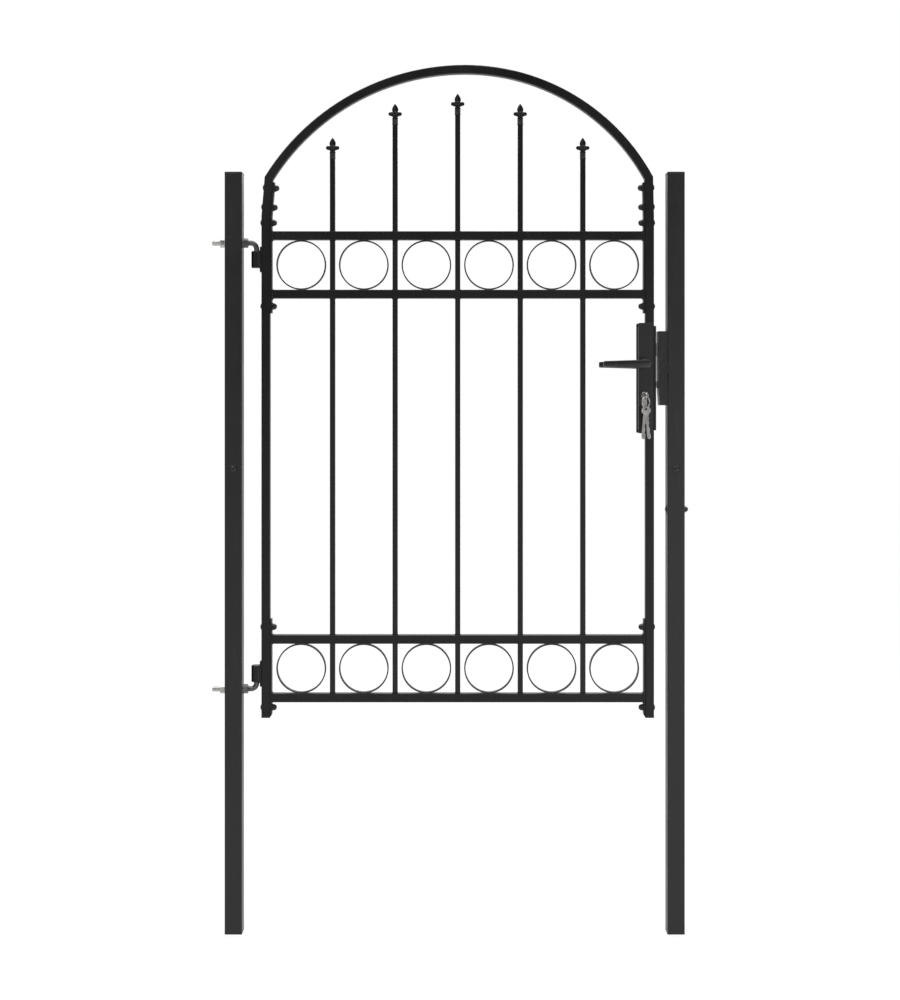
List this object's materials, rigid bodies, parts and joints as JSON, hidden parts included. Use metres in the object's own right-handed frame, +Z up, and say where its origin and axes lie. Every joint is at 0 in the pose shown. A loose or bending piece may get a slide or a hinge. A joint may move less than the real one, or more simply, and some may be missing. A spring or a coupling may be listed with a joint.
{
  "type": "single-leaf arched garden gate with two posts",
  "caption": "Steel garden gate with an arched leaf of upright bars and ring panels, hung on hook hinges between square posts, with a lever lock.",
  "frame": {"origin": "centre of the hinge post's foot, at the post's cut lower end", "axes": "+X from the hinge post to the latch post, +Y to the back, +Z up"},
  "size_m": [1.0998, 0.126, 2.003],
  "materials": {
    "powder_black": "satin black powder coat",
    "cast_black": "cast, black powder coat",
    "cap_plastic": "matte",
    "bolt_black": "black coated, worn bright at the crown",
    "zinc_plate": "zinc plated",
    "lever_black": "semi-gloss black",
    "lock_steel": "plain steel",
    "nickel": "nickel plated"
  },
  "bodies": {
    "posts": {"post_hinge": "powder_black", "post_latch": "powder_black", "cap_hinge_post": "cap_plastic", "cap_latch_post": "cap_plastic", "post_bolts": "bolt_black", "hinge_hook_top": "zinc_plate", "hinge_hook_bottom": "zinc_plate", "hinge_nuts_top": "zinc_plate", "hinge_nuts_bottom": "zinc_plate", "lock_keeper": "powder_black"},
    "handle": {"lever_front": "lever_black", "lever_back": "lever_black", "lever_spindle": "zinc_plate"},
    "latch": {"latch_bolt": "lock_steel"},
    "leaf": {"stile_hinge": "powder_black", "stile_latch_upper": "powder_black", "stile_latch_lower": "powder_black", "arch": "powder_black", "strip_upper_hinge": "powder_black", "strip_upper_latch": "powder_black", "strip_lower_hinge": "powder_black", "strip_lower_latch": "powder_black", "rail_upper_top": "powder_black", "rail_upper_bottom": "powder_black", "rail_lower_top": "powder_black", "rail_lower_bottom": "powder_black", "bar_1": "powder_black", "bar_2": "powder_black", "bar_3": "powder_black", "bar_4": "powder_black", "bar_5": "powder_black", "rings_upper": "powder_black", "rings_lower": "powder_black", "lock_case": "powder_black", "lock_plate_front": "powder_black", "lock_plate_back": "powder_black", "hinge_eye_top": "powder_black", "hinge_eye_bottom": "powder_black", "spearhead_1": "cast_black", "spearhead_2": "cast_black", "spearhead_3": "cast_black", "spearhead_4": "cast_black", "spearhead_5": "cast_black", "frame_bolts_hinge": "bolt_black", "frame_bolts_latch": "bolt_black", "lock_forend": "lock_steel", "dead_bolt": "lock_steel", "lock_cylinder": "nickel", "key": "nickel", "key_ring": "nickel", "spare_keys": "nickel"}
  },
  "joints": [
    {"name": "gate_swing", "type": "hinge", "parent": "posts", "child": "leaf", "pos_m": [0.0515, 0, 0.5975], "axis": [0, 0, -1], "range_deg": [0, 95]},
    {"name": "handle_turn", "type": "hinge", "parent": "leaf", "child": "handle", "pos_m": [0.9465, 0, 1.312], "axis": [0, -1, 0], "range_deg": [0, 35], "stiffness_Nm_per_rad": 1.5, "springref_deg": -20.05},
    {"name": "latch_slide", "type": "slide", "parent": "leaf", "child": "latch", "axis": [-1, 0, 0], "range_m": [0, 0.0125]}
  ],
  "couplings": [
    {"joint": "latch_slide", "follows": "handle_turn", "m_per_rad": 0.02046}
  ]
}
